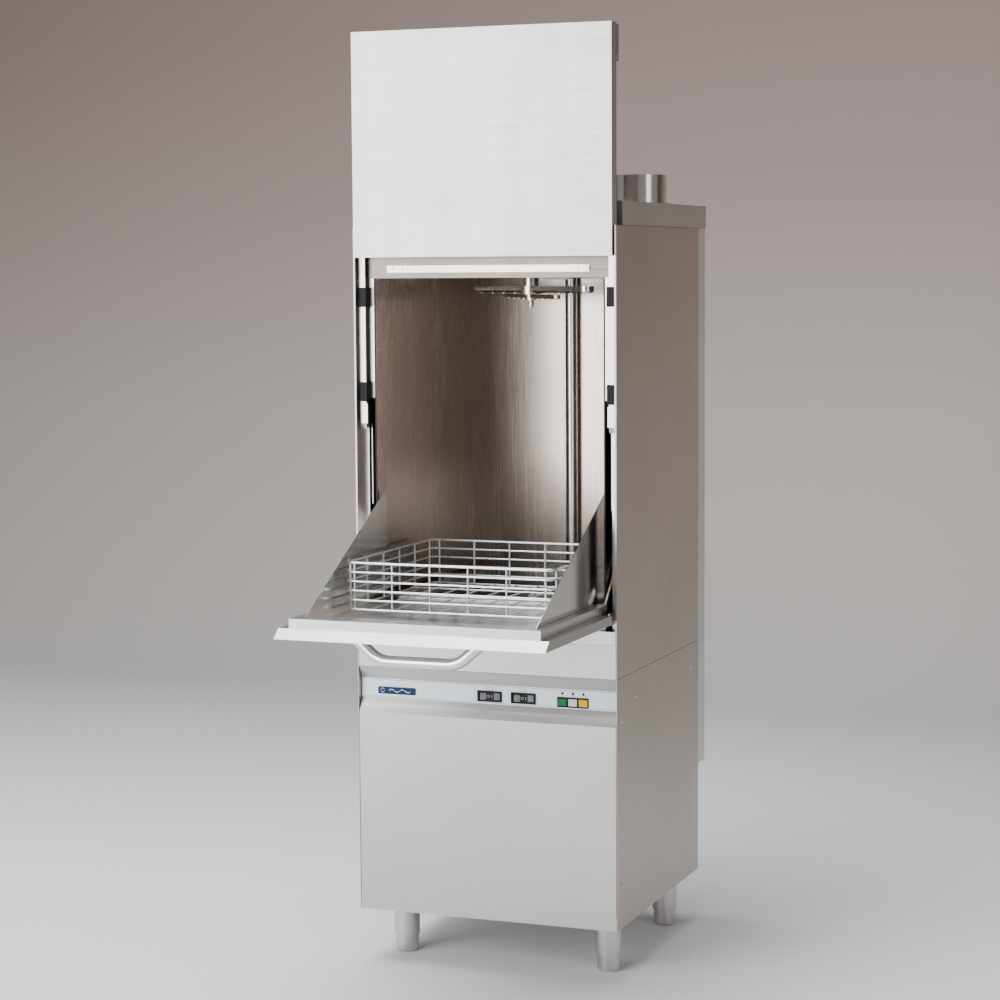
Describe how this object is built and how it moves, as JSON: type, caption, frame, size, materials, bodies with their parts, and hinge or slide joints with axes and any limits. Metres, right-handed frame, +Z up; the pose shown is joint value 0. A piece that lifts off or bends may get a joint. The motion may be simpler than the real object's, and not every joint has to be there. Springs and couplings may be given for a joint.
{
  "type": "commercial dishwasher",
  "caption": "Free-standing split-door commercial dishwasher: the upper door slides up while the lower door folds down to a loading shelf with a wire rack.",
  "frame": {"origin": "centre of the footprint on the floor, with both doors open", "axes": "+X to the machine's right seen from the front, +Y towards the back, +Z up"},
  "size_m": [0.6044, 1.083, 2.038],
  "materials": {
    "satin_steel": "satin brushed stainless steel",
    "panel_steel": "fine brushed stainless sheet",
    "door_steel": "fine brushed stainless sheet",
    "liner_steel": "bright annealed stainless sheet",
    "duct_steel": "matt stainless sheet",
    "hook_steel": "satin steel with black rubber pads",
    "boiler_steel": "dull stainless sheet",
    "galvanised": "zinc-coated sheet",
    "polished_steel": "polished stainless steel",
    "screw_steel": "plated screw heads",
    "rack_wire": "electropolished wire",
    "black_plastic": "textured black plastic",
    "grey_plastic": "moulded grey plastic",
    "white_nylon": "machined white nylon",
    "switch_grey": "glossy dark grey rocker",
    "fascia_blue": "pale blue printed film",
    "badge_navy": "enamelled plate with no wording",
    "button_green": "moulded green button",
    "button_white": "moulded white button",
    "button_yellow": "moulded yellow button",
    "lamp_lens": "smoked lamp lens",
    "cast_motor": "painted cast housing",
    "hose_rubber": "black EPDM hose",
    "brass_valve": "cast brass"
  },
  "bodies": {
    "cabinet": {"base_frame": "satin_steel", "levelling_feet": "satin_steel", "lower_side_panel_left": "panel_steel", "lower_side_panel_right": "panel_steel", "lower_back_panel": "galvanised", "lower_front_panel": "panel_steel", "upper_front_panel": "panel_steel", "door_sill": "satin_steel", "panel_screws": "screw_steel", "control_fascia": "fascia_blue", "badge_plate": "badge_navy", "power_switch_housing": "black_plastic", "cycle_switch_housing": "black_plastic", "button_frame": "black_plastic", "indicator_lamps": "lamp_lens", "wash_tank": "liner_steel", "chamber_liner": "liner_steel", "chamber_ceiling": "liner_steel", "upper_side_panel_left": "panel_steel", "upper_side_panel_right": "panel_steel", "upper_back_panel": "galvanised", "jamb_left": "satin_steel", "jamb_right": "satin_steel", "guide_blocks": "black_plastic", "lintel": "panel_steel", "gasket_rail": "satin_steel", "top_cap": "panel_steel", "steam_spigot": "polished_steel", "rear_duct": "duct_steel", "hinge_brackets": "satin_steel", "rack_rails": "satin_steel", "wash_manifold": "polished_steel", "tank_filter": "liner_steel", "wash_pump": "cast_motor", "suction_pipe": "hose_rubber", "boiler": "boiler_steel", "electrical_box": "grey_plastic", "water_inlet": "brass_valve", "drain_outlet": "hose_rubber", "cable_gland": "black_plastic"},
    "lower_door": {"lower_door_skin": "door_steel", "lower_door_liner": "liner_steel", "lower_door_cheeks": "polished_steel", "lower_door_handle": "polished_steel", "lift_levers": "satin_steel"},
    "upper_door": {"upper_door_skin": "door_steel", "slide_bars": "satin_steel", "door_hooks": "hook_steel"},
    "sill_roller": {"sill_roller": "white_nylon"},
    "wash_rack": {"wash_rack": "rack_wire"},
    "lower_wash_arm": {"lower_wash_arm": "polished_steel"},
    "lower_rinse_arm": {"lower_rinse_arm": "polished_steel"},
    "upper_wash_arm": {"upper_wash_arm": "polished_steel"},
    "upper_rinse_arm": {"upper_rinse_arm": "polished_steel"},
    "overflow_pipe": {"overflow_pipe": "grey_plastic"},
    "power_switch_rocker": {"power_switch_rocker": "switch_grey"},
    "cycle_switch_rocker": {"cycle_switch_rocker": "switch_grey"},
    "start_button": {"start_button": "button_green"},
    "cycle_button": {"cycle_button": "button_white"},
    "drain_button": {"drain_button": "button_yellow"}
  },
  "joints": [
    {"name": "lower_door_hinge", "type": "hinge", "parent": "cabinet", "child": "lower_door", "pos_m": [0, -0.1175, 0.793], "axis": [-1, 0, 0], "range_deg": [0, 90]},
    {"name": "upper_door_slide", "type": "slide", "parent": "cabinet", "child": "upper_door", "axis": [0, 0, -1], "range_m": [0, 0.338]},
    {"name": "sill_roller_turn", "type": "hinge", "parent": "cabinet", "child": "sill_roller", "pos_m": [0, -0.0715, 0.8094], "axis": [-1, 0, 0], "range_deg": [0, 180]},
    {"name": "rack_swing", "type": "hinge", "parent": "sill_roller", "child": "wash_rack", "pos_m": [0, -0.1915, 0.8094], "axis": [-1, 0, 0], "range_deg": [-180, 0]},
    {"name": "lower_wash_arm_spin", "type": "hinge", "parent": "cabinet", "child": "lower_wash_arm", "pos_m": [0, 0.1825, 0.775], "axis": [0, 0, 1], "continuous": true},
    {"name": "lower_rinse_arm_spin", "type": "hinge", "parent": "cabinet", "child": "lower_rinse_arm", "pos_m": [0, 0.1825, 0.79], "axis": [0, 0, 1], "continuous": true},
    {"name": "upper_wash_arm_spin", "type": "hinge", "parent": "cabinet", "child": "upper_wash_arm", "pos_m": [0, 0.1825, 1.484], "axis": [0, 0, 1], "continuous": true},
    {"name": "upper_rinse_arm_spin", "type": "hinge", "parent": "cabinet", "child": "upper_rinse_arm", "pos_m": [0, 0.1825, 1.469], "axis": [0, 0, 1], "continuous": true},
    {"name": "overflow_pipe_lift", "type": "slide", "parent": "cabinet", "child": "overflow_pipe", "axis": [0, 0, 1], "range_m": [0, 0.02]},
    {"name": "power_switch_rocker_tilt", "type": "hinge", "parent": "cabinet", "child": "power_switch_rocker", "pos_m": [0.0055, -0.0955, 0.61], "axis": [0, 0, -1], "range_deg": [0, 16]},
    {"name": "cycle_switch_rocker_tilt", "type": "hinge", "parent": "cabinet", "child": "cycle_switch_rocker", "pos_m": [0.0835, -0.0955, 0.61], "axis": [0, 0, -1], "range_deg": [0, 16]},
    {"name": "start_button_press", "type": "slide", "parent": "cabinet", "child": "start_button", "axis": [0, 1, 0], "range_m": [0, 0.0025], "stiffness_N_per_m": 400, "springref_m": -0.0005},
    {"name": "cycle_button_press", "type": "slide", "parent": "cabinet", "child": "cycle_button", "axis": [0, 1, 0], "range_m": [0, 0.0025], "stiffness_N_per_m": 400, "springref_m": -0.0005},
    {"name": "drain_button_press", "type": "slide", "parent": "cabinet", "child": "drain_button", "axis": [0, 1, 0], "range_m": [0, 0.0025], "stiffness_N_per_m": 400, "springref_m": -0.0005}
  ],
  "couplings": [
    {"joint": "upper_door_slide", "follows": "lower_door_hinge", "m_per_rad": 0.21518},
    {"joint": "sill_roller_turn", "follows": "lower_door_hinge", "ratio": 2},
    {"joint": "rack_swing", "follows": "lower_door_hinge", "ratio": -2}
  ]
}
